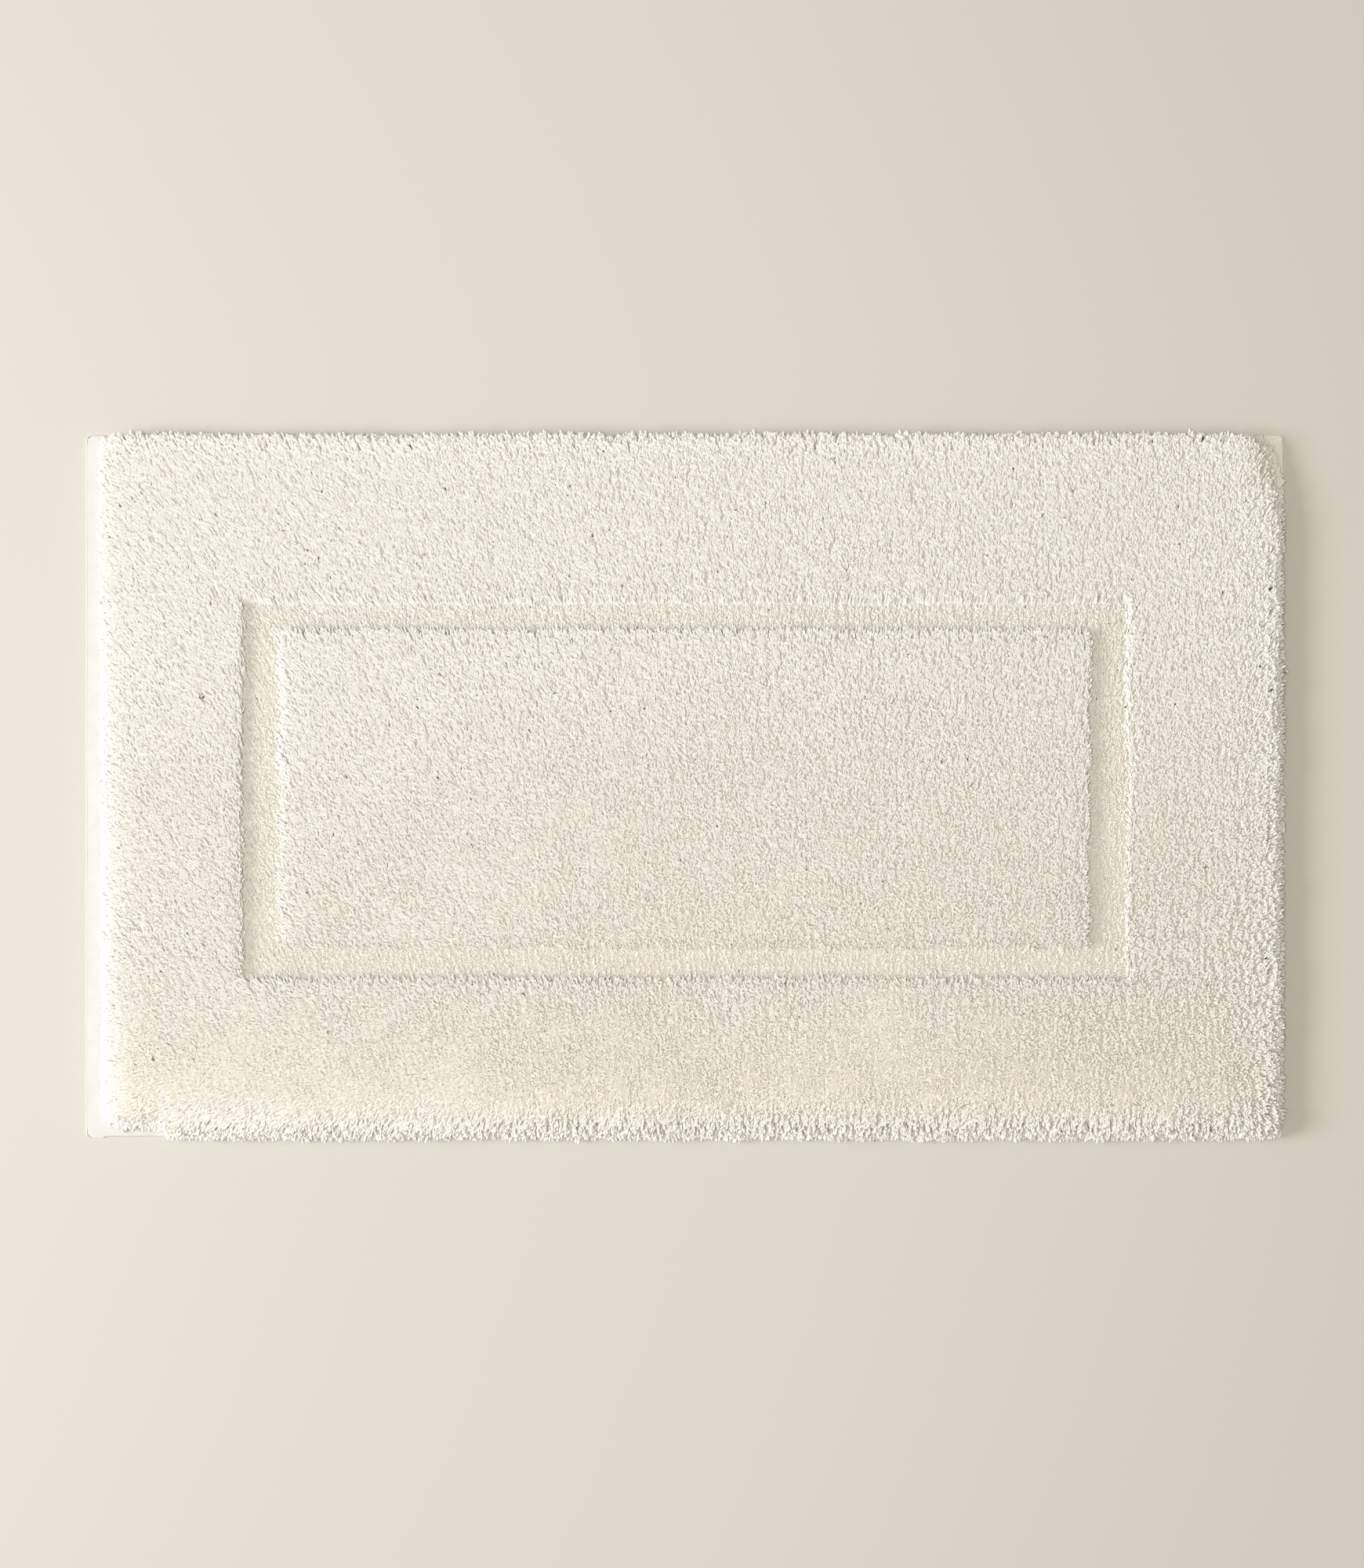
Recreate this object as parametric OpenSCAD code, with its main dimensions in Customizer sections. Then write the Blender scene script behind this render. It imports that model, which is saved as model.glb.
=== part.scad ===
// Tufted cotton bath mat with a sculpted channel round a raised centre panel.
// The frame: origin at the centre of the underside, +X along the length, +Z up out of the pile.
// From the floor up: latex coat, ground cloth, then three fields of cut pile. The margin of the
// ground cloth is turned twice under each edge and held by a row of stitches.

/* [Mat] */
// Length over the hems, along X
mat_length = 864; // [600:1:1200]
// Width over the hems, along Y
mat_width = 506; // [400:1:800]
// Radius of the four corners in plan
corner_r = 5; // [3:0.5:9]

/* [Pile] */
// Height of the cut pile above the ground cloth, in the border and the centre panel
pile_height = 18; // [12:0.5:30]
// Height of the sheared pile in the channel
channel_pile_height = 10; // [4:0.5:11]
// Width of the high border, from the hem to the channel
border_width = 116; // [60:1:130]
// Width of the sheared channel
channel_width = 24; // [10:1:40]
// How far the roots of the outer tufts lie inside the hem's edge
pile_inset = 2.5; // [1:0.5:5]
// Radius that the pile's outer top edge is rounded to
pile_edge_r = 9; // [4:0.5:10]
// Radius that the centre panel's top edge is rounded to
panel_edge_r = 4; // [2:0.5:8]

/* [Cloth] */
// Thickness of one ply of the ground cloth
cloth_t = 0.5; // [0.3:0.05:0.8]
// Width of the turned hem
hem_width = 14; // [8:1:20]
// Free space between the two turned plies
ply_gap = 0.1; // [0.05:0.05:0.2]
// How far the hem's lower ply lies above the floor
hem_lift = 0.4; // [0.3:0.05:0.6]

/* [Stitching] */
// Distance from one stitch to the next
stitch_pitch = 4.5; // [4:0.1:8]
// Length of the thread that shows in one stitch
stitch_length = 3.4; // [2:0.1:3.8]
// Radius of the sewing thread
thread_r = 0.25; // [0.15:0.05:0.25]
// Distance from the hem's edge to the row of stitches
seam_inset = 11; // [5:0.5:16]

/* [Hidden] */
$fn = 96;

// heights, from the floor up
lower_ply_z = hem_lift;
inner_ply_z = lower_ply_z + cloth_t + ply_gap;
cloth_z = inner_ply_z + cloth_t;
pile_z = cloth_z + cloth_t;

// the hem's two turns
outer_turn_r = (pile_z - lower_ply_z) / 2;
inner_turn_r = (cloth_z - lower_ply_z) / 2;
raw_edge_inset = 3 * outer_turn_r;
end_hem_length = mat_length - 2 * hem_width;

// plan sizes of the pile fields
channel_outer = [mat_length - 2 * border_width, mat_width - 2 * border_width];
channel_inner = channel_outer - 2 * [channel_width, channel_width];
pile_corner_r = pile_edge_r + 3;
panel_corner_r = panel_edge_r + 2;

latex_margin = 0.5;

yarn_colour = [0.93, 0.90, 0.83];
sheared_colour = [0.90, 0.87, 0.80];
cloth_colour = [0.97, 0.96, 0.93];
latex_colour = [0.86, 0.84, 0.78];
thread_colour = [0.99, 0.98, 0.96];

// ---------- shared shapes ----------

module centred_rect(size) {
    translate(-size / 2) square(size);
}

// A rectangle with round corners, drawn from exact circles and squares
module round_rect(size, r) {
    centred_rect([size[0] - 2 * r, size[1]]);
    centred_rect([size[0], size[1] - 2 * r]);
    for (sx = [-1, 1], sy = [-1, 1])
        translate([sx * (size[0] / 2 - r), sy * (size[1] / 2 - r)]) circle(r);
}

// Half of a flat ring: the section of a ply that turns back on itself, bulging towards -X
module turn_section(outer_r, inner_r) {
    intersection() {
        difference() {
            circle(outer_r);
            circle(inner_r);
        }
        translate([-outer_r, -outer_r]) square([outer_r, 2 * outer_r]);
    }
}

// The vertical section of a pile field's outer edge: width w, height h, round top edge
module pile_edge_section(w, h, edge_r) {
    square([w, h - edge_r]);
    square([w - edge_r, h]);
    intersection() {
        translate([w - edge_r, h - edge_r]) circle(edge_r);
        translate([w - edge_r, h - edge_r]) square(edge_r);
    }
}

// A strip of that section along all four sides of a rectangle, with revolved corners
module pile_edge(size, r, h, edge_r) {
    core = size - 2 * [r, r];
    for (side = [0, 1]) {
        for (turn = [0, 180]) {
            run = side == 0 ? core[1] : core[0];
            reach = side == 0 ? core[0] / 2 : core[1] / 2;
            rotate(turn + side * 90) translate([reach, run / 2, 0])
                rotate([90, 0, 0]) linear_extrude(run) pile_edge_section(r, h, edge_r);
        }
    }
    for (sx = [0, 1], sy = [0, 1])
        translate([(sx * 2 - 1) * core[0] / 2, (sy * 2 - 1) * core[1] / 2, 0])
            rotate(sx == 1 ? (sy == 1 ? 0 : 270) : (sy == 1 ? 90 : 180))
                rotate_extrude(angle = 90) pile_edge_section(r, h, edge_r);
}

// ---------- backing ----------

module latex_coat() {
    margin = hem_width + latex_margin;
    color(latex_colour)
        linear_extrude(cloth_z)
            centred_rect([mat_length - 2 * margin, mat_width - 2 * margin]);
}

module ground_cloth() {
    size = [mat_length, mat_width] - 2 * [outer_turn_r, outer_turn_r];
    color(cloth_colour)
        translate([0, 0, cloth_z]) linear_extrude(cloth_t) round_rect(size, corner_r - outer_turn_r);
}

// ---------- pile ----------

module border_pile() {
    outer = [mat_length, mat_width] - 2 * [pile_inset, pile_inset];
    core = outer - 2 * [pile_corner_r, pile_corner_r];
    color(yarn_colour) translate([0, 0, pile_z]) {
        pile_edge(outer, pile_corner_r, pile_height, pile_edge_r);
        linear_extrude(pile_height) difference() {
            centred_rect(core);
            centred_rect(channel_outer);
        }
    }
}

module channel_pile() {
    color(sheared_colour) translate([0, 0, pile_z]) linear_extrude(channel_pile_height) difference() {
        centred_rect(channel_outer);
        round_rect(channel_inner, panel_corner_r);
    }
}

module centre_pile() {
    core = channel_inner - 2 * [panel_corner_r, panel_corner_r];
    color(yarn_colour) translate([0, 0, pile_z]) {
        pile_edge(channel_inner, panel_corner_r, pile_height, panel_edge_r);
        linear_extrude(pile_height) centred_rect(core);
    }
}

// ---------- hems ----------

// The section of the twice-turned hem, with the mat's edge at X = 0 and the mat towards +X
module hem_section() {
    inner_end = hem_width - inner_turn_r;
    translate([outer_turn_r, lower_ply_z + outer_turn_r])
        turn_section(outer_turn_r, outer_turn_r - cloth_t);
    translate([outer_turn_r, lower_ply_z]) square([inner_end - outer_turn_r, cloth_t]);
    translate([inner_end, lower_ply_z + inner_turn_r]) mirror([1, 0])
        turn_section(inner_turn_r, inner_turn_r - cloth_t);
    translate([raw_edge_inset, inner_ply_z]) square([inner_end - raw_edge_inset, cloth_t]);
}

module hem(length) {
    translate([0, length / 2, 0]) rotate([90, 0, 0]) linear_extrude(length) hem_section();
}

// The end hems run over the full width, and close the corners
module end_hem(turn) {
    color(cloth_colour) intersection() {
        rotate(turn) translate([-mat_length / 2, 0, 0]) hem(mat_width);
        linear_extrude(pile_z) round_rect([mat_length, mat_width], corner_r);
    }
}

// The long hems run between the end hems
module long_hem(turn) {
    color(cloth_colour) rotate(turn) translate([-mat_width / 2, 0, 0]) hem(end_hem_length);
}

module hem_left() { end_hem(0); }
module hem_right() { end_hem(180); }
module hem_front() { long_hem(90); }
module hem_back() { long_hem(270); }

// ---------- stitching ----------

// One stitch: a half-round length of thread, drawn tight against the lower ply
module stitch() {
    translate([0, stitch_length / 2, hem_lift]) rotate([90, 0, 0]) linear_extrude(stitch_length)
        intersection() {
            circle(thread_r, $fn = 24);
            translate([-thread_r, -thread_r]) square([2 * thread_r, thread_r]);
        }
}

// A row of stitches along Y, at X = 0
module stitch_row(length) {
    count = floor((length - stitch_length) / stitch_pitch);
    color(thread_colour)
        for (i = [0:count])
            translate([0, (i - count / 2) * stitch_pitch, 0]) stitch();
}

module end_thread(turn) {
    rotate(turn) translate([-mat_length / 2 + seam_inset, 0, 0])
        stitch_row(mat_width - 2 * corner_r);
}

module long_thread(turn) {
    rotate(turn) translate([-mat_width / 2 + seam_inset, 0, 0]) stitch_row(end_hem_length);
}

module hem_thread_left() { end_thread(0); }
module hem_thread_right() { end_thread(180); }
module hem_thread_front() { long_thread(90); }
module hem_thread_back() { long_thread(270); }

latex_coat();
ground_cloth();
border_pile();
channel_pile();
centre_pile();
hem_left();
hem_right();
hem_front();
hem_back();
hem_thread_left();
hem_thread_right();
hem_thread_front();
hem_thread_back();
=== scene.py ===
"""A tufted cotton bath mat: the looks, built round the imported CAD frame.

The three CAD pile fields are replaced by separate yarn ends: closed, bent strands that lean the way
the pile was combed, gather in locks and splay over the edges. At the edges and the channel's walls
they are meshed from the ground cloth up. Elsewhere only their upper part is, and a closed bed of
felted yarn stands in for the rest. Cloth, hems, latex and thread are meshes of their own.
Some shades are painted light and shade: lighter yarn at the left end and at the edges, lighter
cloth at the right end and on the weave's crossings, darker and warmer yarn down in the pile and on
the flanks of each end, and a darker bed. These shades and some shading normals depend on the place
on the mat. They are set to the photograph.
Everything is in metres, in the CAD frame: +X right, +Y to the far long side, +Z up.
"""
import math

import bpy
import numpy as np
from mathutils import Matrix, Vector


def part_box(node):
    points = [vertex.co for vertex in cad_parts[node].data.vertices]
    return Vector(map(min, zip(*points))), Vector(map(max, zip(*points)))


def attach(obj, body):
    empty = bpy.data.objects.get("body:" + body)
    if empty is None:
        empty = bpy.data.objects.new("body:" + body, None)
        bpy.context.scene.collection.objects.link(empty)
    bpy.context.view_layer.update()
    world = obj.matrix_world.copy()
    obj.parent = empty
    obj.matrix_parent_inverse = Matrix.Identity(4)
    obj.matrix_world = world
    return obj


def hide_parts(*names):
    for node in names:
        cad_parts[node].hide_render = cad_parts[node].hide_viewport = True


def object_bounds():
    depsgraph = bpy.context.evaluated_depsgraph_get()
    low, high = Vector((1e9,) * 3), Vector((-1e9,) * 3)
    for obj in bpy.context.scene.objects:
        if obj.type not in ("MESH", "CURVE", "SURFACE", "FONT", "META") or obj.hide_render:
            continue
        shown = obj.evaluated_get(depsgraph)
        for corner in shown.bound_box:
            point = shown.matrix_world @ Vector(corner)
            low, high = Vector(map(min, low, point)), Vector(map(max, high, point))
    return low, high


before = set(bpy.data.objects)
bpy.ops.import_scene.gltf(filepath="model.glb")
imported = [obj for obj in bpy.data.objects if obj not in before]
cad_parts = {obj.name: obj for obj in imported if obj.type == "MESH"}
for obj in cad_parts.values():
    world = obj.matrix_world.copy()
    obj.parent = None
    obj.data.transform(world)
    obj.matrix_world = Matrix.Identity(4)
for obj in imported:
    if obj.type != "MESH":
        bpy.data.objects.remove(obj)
cad_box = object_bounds()

MM = 0.001
rng = np.random.default_rng(20)

# ---------------------------------------------------------------- sizes, from the CAD frame

border_low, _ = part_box("border_pile")
_, channel_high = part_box("channel_pile")
_, panel_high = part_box("centre_pile")
hem_low, hem_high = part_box("hem_left")
latex_low, latex_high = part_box("latex_coat")
cloth_low, cloth_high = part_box("ground_cloth")

half_x = cad_box[1].x
half_y = cad_box[1].y
root_z = border_low.z
channel_top = channel_high.z
channel_x, channel_y = channel_high.x, channel_high.y
panel_x, panel_y = panel_high.x, panel_high.y
hem_width = hem_high.x - hem_low.x
cloth_bottom = latex_high.z

# ---------------------------------------------------------------- pile constants

END_PITCH = 1.27 * MM       # from one cut end to the next
YARN_R = 0.54 * MM
STRAND_LENGTH = 18.6 * MM
CHANNEL_LENGTH = 10.6 * MM
SECTIONS = 8                # steps in which a strand's bend is added up
TIP_SHARE = 0.62            # sideways travel of a tip, for each unit of length and radian of lean
CUT_HEIGHT = 17.7 * MM      # from the ground cloth to the sheared face of the pile
CHANNEL_CUT = 10.2 * MM
MOST_TRIANGLES = 190000     # in one piece, so that its mesh is never thinned out


def smooth_noise(x, y, cell, seed):
    """Value noise from -1 to 1 at the points x, y, with features about one cell wide."""
    lattice = np.random.default_rng(seed).uniform(-1, 1, (64, 64))
    u, v = x / cell + 1000.37, y / cell + 1000.71
    i, j = np.floor(u).astype(int), np.floor(v).astype(int)
    fu, fv = u - i, v - j
    fu, fv = fu * fu * (3 - 2 * fu), fv * fv * (3 - 2 * fv)
    a = lattice[i % 64, j % 64] * (1 - fu) + lattice[(i + 1) % 64, j % 64] * fu
    b = lattice[i % 64, (j + 1) % 64] * (1 - fu) + lattice[(i + 1) % 64, (j + 1) % 64] * fu
    return a * (1 - fv) + b * fv


def ramp(value, low, high):
    """0 below low, 1 above high, smooth between."""
    t = np.clip((value - low) / (high - low), 0, 1)
    return t * t * (3 - 2 * t)


def edge_wobble(along, seed):
    """How far a sheared line strays from straight, at places along it."""
    return 0.9 * MM * smooth_noise(along, 0 * along, 35 * MM, seed) \
        + 0.5 * MM * smooth_noise(along, 0 * along, 8 * MM, seed + 1)


def inside_depth(x, y, reach_x, reach_y, seed):
    """How far a point lies inside a rectangle whose sides wobble; negative outside."""
    dx = reach_x + edge_wobble(y, seed + np.where(x > 0, 0, 10).max()) - np.abs(x)
    dy = reach_y + edge_wobble(x, seed + 20) - np.abs(y)
    return np.minimum(dx, dy)


# ---------------------------------------------------------------- where the tufts are


def yarn_ends():
    """Roots of all the cut ends: an even coat of staggered rows, none of them quite in line."""
    row_pitch = END_PITCH * math.sqrt(3) / 2
    columns = np.arange(-half_x, half_x, END_PITCH)
    rows = np.arange(-half_y, half_y, row_pitch)
    x, y = np.meshgrid(columns, rows, indexing="ij")
    x = x + (np.arange(len(rows)) % 2)[None, :] * END_PITCH / 2
    x = x + rng.uniform(-0.32, 0.32, x.shape) * END_PITCH
    y = y + rng.uniform(-0.32, 0.32, y.shape) * END_PITCH
    return x.ravel(), y.ravel()


SIDE_WAY = {"left": (-1, 0), "right": (1, 0), "front": (0, -1), "back": (0, 1)}
# how far the shading normals are turned near each outer edge, in X and Y. They were set to the
# photograph's tones, and turn mostly to the left, towards the main light, on every side
COAT_TILT = {"left": (-0.35, 0), "right": (-0.45, 0), "front": (-0.55, -0.15), "back": (-0.3, 0.1)}
ROOT_INSET = {"left": 16.5 * MM, "right": 8.0 * MM, "front": 6.0 * MM, "back": 7.5 * MM}
# how far the pile's rounded shoulder reaches in from its outermost row, and how much height it takes
SHOULDER = {"left": (12 * MM, 0.55), "right": (9 * MM, 0.5),
            "front": (9 * MM, 0.5), "back": (9 * MM, 0.5)}
BARE_LENGTH, BARE_WIDTH = 58 * MM, 13 * MM      # the front hem lies bare next to the left end
BARE_CORNER = (15 * MM, 34 * MM)                # and so does the corner of the right and back hems


def edge_distance(x, y):
    """Distance of a root to the hem's outer line on each side."""
    return {"left": x + half_x, "right": half_x - x, "front": y + half_y, "back": half_y - y}


def from_bare_corner(x, y):
    """How far a place lies from the bare corner of the right and back hems; negative on it."""
    distance = edge_distance(x, y)
    along_x, along_y = distance["right"] / BARE_CORNER[0], distance["back"] / BARE_CORNER[1]
    return BARE_CORNER[0] * (np.hypot(along_x, along_y) - 1)


def rooted_depth(x, y):
    """How far a place lies inside the outermost row of tufts; negative outside it."""
    distance = edge_distance(x, y)
    depth = np.full(x.shape, 1.0)
    for side, inset in ROOT_INSET.items():
        along = y if side in ("left", "right") else x
        ragged = 0.8 * MM * smooth_noise(along, 0 * along, 9 * MM, 5)
        depth = np.minimum(depth, distance[side] - inset - ragged)
    bare_strip = np.maximum(distance["front"] - BARE_WIDTH, distance["left"] - BARE_LENGTH)
    return np.minimum(depth, np.minimum(bare_strip, from_bare_corner(x, y)))


def way_out(x, y):
    """Unit vectors from each root straight out of the pile."""
    step = 0.5 * MM
    slope = np.stack([rooted_depth(x - step, y) - rooted_depth(x + step, y),
                      rooted_depth(x, y - step) - rooted_depth(x, y + step)], 1)
    return slope / np.maximum(np.linalg.norm(slope, axis=1), 1e-9)[:, None]


def shoulder(x, y):
    """The share of its full height that the pile keeps near its outer edge."""
    kept = np.ones(len(x))
    for side, d in edge_distance(x, y).items():
        reach, drop = SHOULDER[side]
        kept -= drop * np.clip(1 - (d - ROOT_INSET[side]) / reach, 0, 1) ** 2
    beside_bare = ramp(BARE_LENGTH + 10 * MM - x - half_x, 0, 15 * MM)
    kept -= 0.5 * beside_bare * np.clip(1 - (y + half_y - BARE_WIDTH) / (12 * MM), 0, 1) ** 2
    kept -= 0.5 * np.clip(1 - from_bare_corner(x, y) / (24 * MM), 0, 1) ** 2
    return np.clip(kept, 0.3, 1)


all_x, all_y = yarn_ends()
on_cloth = rooted_depth(all_x, all_y) > 0
all_x, all_y = all_x[on_cloth], all_y[on_cloth]

# ---------------------------------------------------------------- how the strands lean


def clump_pull(x, y, cell_x, cell_y, seed):
    """Vector from each point to the middle of its lock, and one random pair for each lock.
    The locks are drawn out along Y, and slant with the comb towards the left end."""
    x = x + 0.5 * y * ramp(-x / half_x, -0.3, 0.9)
    local = np.random.default_rng(seed)
    jitter = local.uniform(0.1, 0.9, (256, 256, 2))
    mood = local.normal(0, 1, (256, 256, 2))
    u, v = x / cell_x + 500, y / cell_y + 500
    i, j = np.floor(u).astype(int), np.floor(v).astype(int)
    best = np.full(len(x), 1e9)
    pull = np.zeros((len(x), 2))
    chosen = np.zeros((len(x), 2))
    for di in (-1, 0, 1):
        for dj in (-1, 0, 1):
            a, b = (i + di) % 256, (j + dj) % 256
            du = i + di + jitter[a, b, 0] - u
            dv = j + dj + jitter[a, b, 1] - v
            gap = du * du + dv * dv
            nearer = gap < best
            best = np.where(nearer, gap, best)
            pull[nearer] = np.stack([du * cell_x, dv * cell_y], 1)[nearer]
            chosen[nearer] = mood[a, b][nearer]
    return pull, chosen


def comb(x, y):
    """The broad direction that the pile was combed in: the tip's lean in radians, as a vector."""
    u, v = x / half_x, y / half_y
    upper = ramp(v, -0.35, 0.75)
    lean_y = 0.32 + 0.42 * upper - 0.20 * ramp(-v, 0.5, 1.0)
    lean_x = -0.03 - ramp(-u, -0.2, 0.9) * (0.10 + 0.26 * upper) + 0.05 * ramp(u, 0.3, 1.0)
    return np.stack([lean_x, lean_y], 1)


def lean_field(x, y):
    lean = comb(x, y)
    for cell, weight, seed in ((95 * MM, 0.06, 201), (38 * MM, 0.06, 203), (15 * MM, 0.06, 205)):
        lean[:, 0] += weight * smooth_noise(x, y, cell, seed)
        lean[:, 1] += weight * smooth_noise(x, y, cell, seed + 1)
    return lean


CHANNEL_COMB = 0.75         # how much of the comb the short yarn of the channel keeps
CUT_BACK = 3.3 * MM         # how much wider the shears leave the channel's two short sides


def tip_depths(length, comb_share):
    """How far the tips of strands of this length lie inside the channel's outer and inner line."""
    shift = lean_field(all_x, all_y) * TIP_SHARE * length * comb_share
    tip_x, tip_y = all_x + shift[:, 0], all_y + shift[:, 1]
    return (inside_depth(tip_x, tip_y, channel_x + CUT_BACK, channel_y, 31),
            inside_depth(tip_x, tip_y, panel_x - CUT_BACK, panel_y, 61))


# the shears cut the channel straight down, through yarn that already leans: what counts is the tip
channel_depth, panel_depth = tip_depths(STRAND_LENGTH, 1.0)
short_depth, short_panel_depth = tip_depths(CHANNEL_LENGTH, CHANNEL_COMB)
in_panel = panel_depth > 0
in_border = channel_depth <= 0
in_channel = (short_depth > 0) & (short_panel_depth <= 0)


def strand_shape(x, y, length, lean, curl):
    """Points along each strand, from root to tip, shape (n, SECTIONS + 1, 3).
    The lean grows from a quarter at the root to its full angle at the tip."""
    angle = np.hypot(lean[:, 0], lean[:, 1])
    heading = np.arctan2(lean[:, 1], lean[:, 0])
    points = np.zeros((len(x), SECTIONS + 1, 3))
    points[:, 0] = np.stack([x, y, np.full(len(x), root_z - 0.2 * MM)], 1)
    for k in range(SECTIONS):
        t = (k + 0.5) / SECTIONS
        tilt = angle * (0.25 + 0.75 * t)
        way = heading + curl * (t - 0.5)
        step = np.stack([np.sin(tilt) * np.cos(way), np.sin(tilt) * np.sin(way), np.cos(tilt)], 1)
        points[:, k + 1] = points[:, k] + step * (length / SECTIONS)[:, None]
    return points


def along_strand(points, t):
    """The point at share t, 0 to 1, of each strand."""
    place = np.clip(t, 0, 1) * SECTIONS
    low = np.minimum(place.astype(int), SECTIONS - 1)
    share = (place - low)[:, None]
    row = np.arange(len(points))
    return points[row, low] * (1 - share) + points[row, low + 1] * share


# ---------------------------------------------------------------- strands as closed meshes

SIDES = 3
TANGENT_STEP = 0.04         # share of a strand over which its direction is taken
# rings of a strand: (share of the way from its start to its tip, share of the yarn's radius)
SHORT_RINGS = ((0.0, 1.9), (0.93, 1.2))
CHANNEL_RINGS = ((0.0, 1.5), (0.9, 1.1))
LONG_RINGS = ((0.0, 1.3), (0.35, 1.5), (0.75, 1.35), (0.95, 1.0))


def strand_faces(rings, sides):
    """Faces of one strand: a start cap, bands of quads, and a pointed tip."""
    tip = rings * sides
    faces = [tuple(range(sides))[::-1]]
    for r in range(rings - 1):
        for s in range(sides):
            a, b = r * sides + s, r * sides + (s + 1) % sides
            faces.append((a, b, b + sides, a + sides))
    for s in range(sides):
        a, b = (rings - 1) * sides + s, (rings - 1) * sides + (s + 1) % sides
        faces.append((a, b, tip))
    return faces


def mesh_object(name, vertices, loops, sizes, normals=None):
    """A mesh from its corner lists. normals, if given, are its shading normals, one for each vertex."""
    mesh = bpy.data.meshes.new(name)
    mesh.vertices.add(len(vertices))
    mesh.vertices.foreach_set("co", np.ascontiguousarray(vertices, np.float32).ravel())
    mesh.loops.add(len(loops))
    mesh.loops.foreach_set("vertex_index", np.ascontiguousarray(loops, np.int32))
    mesh.polygons.add(len(sizes))
    starts = np.concatenate([[0], np.cumsum(sizes)[:-1]])
    mesh.polygons.foreach_set("loop_start", starts.astype(np.int32))
    mesh.update(calc_edges=True)
    mesh.polygons.foreach_set("use_smooth", np.ones(len(sizes), bool))
    if normals is not None:
        shading = mesh.attributes.new("custom_normal", "FLOAT_VECTOR", "POINT")
        shading.data.foreach_set("vector", np.ascontiguousarray(normals, np.float32).ravel())
    made = bpy.data.objects.new(name, mesh)
    bpy.context.scene.collection.objects.link(made)
    return made


# how much of a strand's own round side its shading keeps, by the node that the strands stand for
ROUNDNESS = {"border_pile": 0.25, "centre_pile": 0.25, "channel_pile": 0.6}
SKIRT_ROUNDNESS = 0.7
WALL_TILT, WALL_REACH = 0.45, 5.0 * MM
FLANK_REACH = 5.0 * MM      # how far in from the outermost row the pile's side still counts


def coat_normal(root, tip):
    """The shading normal of the pile's combed surface: up, turned by COAT_TILT near each outer edge,
    and turned to the left on the channel's left-facing walls. Set to the photograph's tones."""
    normal = np.zeros((len(root), 3))
    along = root[:, 0] / half_x
    normal[:, 0] = 0.12 - 0.22 * ramp(along, -1, 1) - 0.12 * ramp(along, 0.7, 1.0)
    normal[:, 2] = 1
    for side, d in edge_distance(root[:, 0], root[:, 1]).items():
        share = np.exp(-np.clip(d - ROOT_INSET[side], 0, None) / (9 * MM))
        normal[:, :2] += share[:, None] * np.array(COAT_TILT[side])
    for wall, reach_y in ((-panel_x, panel_y), (channel_x, channel_y)):
        beyond = tip[:, 0] - wall
        beside = np.exp(-np.abs(beyond) / WALL_REACH) * (beyond > -2 * MM)
        normal[:, 0] -= WALL_TILT * beside * (np.abs(tip[:, 1]) < reach_y) * (tip[:, 2] > channel_top)
    return normal / np.linalg.norm(normal, axis=1)[:, None]


def flank_normal(root):
    """The direction that the pile's side faces below each outer tuft, and how much it counts there.
    The left end slopes too gently to have a side."""
    x, y = root[:, 0], root[:, 1]
    share = np.exp(-np.clip(rooted_depth(x, y), 0, None) / FLANK_REACH)
    share *= ramp(x, -half_x + 20 * MM, -half_x + 45 * MM)
    return np.concatenate([way_out(x, y), np.zeros((len(root), 1))], 1), share


def strand_mesh(name, points, start, radius, ring_plan, roundness, sides=SIDES):
    """One mesh of all these strands, each from its share start up to its tip. Its shading normals
    follow the pile's whole surface more than each yarn, as a soft coat's do, unless roundness is None."""
    n = len(points)
    spin = rng.normal(0, 1, (n, 3))
    coat = coat_normal(points[:, 0], points[:, -1])
    flank, flank_share = flank_normal(points[:, 0])
    rings, normals = [], []
    for t, swell in ring_plan:
        here = start + (1 - start) * t
        centre = along_strand(points, here)
        ahead = along_strand(points, np.minimum(here + TANGENT_STEP, 1.0))
        behind = along_strand(points, np.maximum(here - TANGENT_STEP, 0.0))
        tangent = ahead - behind
        tangent /= np.linalg.norm(tangent, axis=1)[:, None]
        side = np.cross(tangent, spin)
        side /= np.linalg.norm(side, axis=1)[:, None]
        other = np.cross(tangent, side)
        low = (flank_share * (1 - here))[:, None]
        facing = coat * (1 - low) + flank * low
        for s in range(sides):
            angle = 2 * math.pi * s / sides
            outward = side * math.cos(angle) + other * math.sin(angle)
            rings.append(centre + outward * (radius * swell)[:, None])
            normals.append(outward * (roundness or 0) + facing)
    rings.append(along_strand(points, np.ones(n)))
    normals.append(coat)
    vertices = np.stack(rings, 1)
    per_strand = vertices.shape[1]
    faces = strand_faces(len(ring_plan), sides)
    pattern = np.array([i for f in faces for i in f])
    loops = (pattern[None] + (np.arange(n) * per_strand)[:, None]).ravel()
    sizes = np.tile([len(f) for f in faces], n)
    normals = np.stack(normals, 1).reshape(-1, 3)
    normals /= np.linalg.norm(normals, axis=1)[:, None]
    return mesh_object(name, vertices.reshape(-1, 3), loops, sizes, None if roundness is None else normals)


# ---------------------------------------------------------------- materials


def node_material(name, roughness, sheen=0.0):
    material = bpy.data.materials.new(name)
    material.use_nodes = True
    shader = material.node_tree.nodes["Principled BSDF"]
    shader.inputs["Roughness"].default_value = roughness
    shader.inputs["Sheen Weight"].default_value = sheen
    shader.inputs["Sheen Roughness"].default_value = 0.5
    shader.inputs["Specular IOR Level"].default_value = 0.2
    return material, material.node_tree, shader


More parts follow.
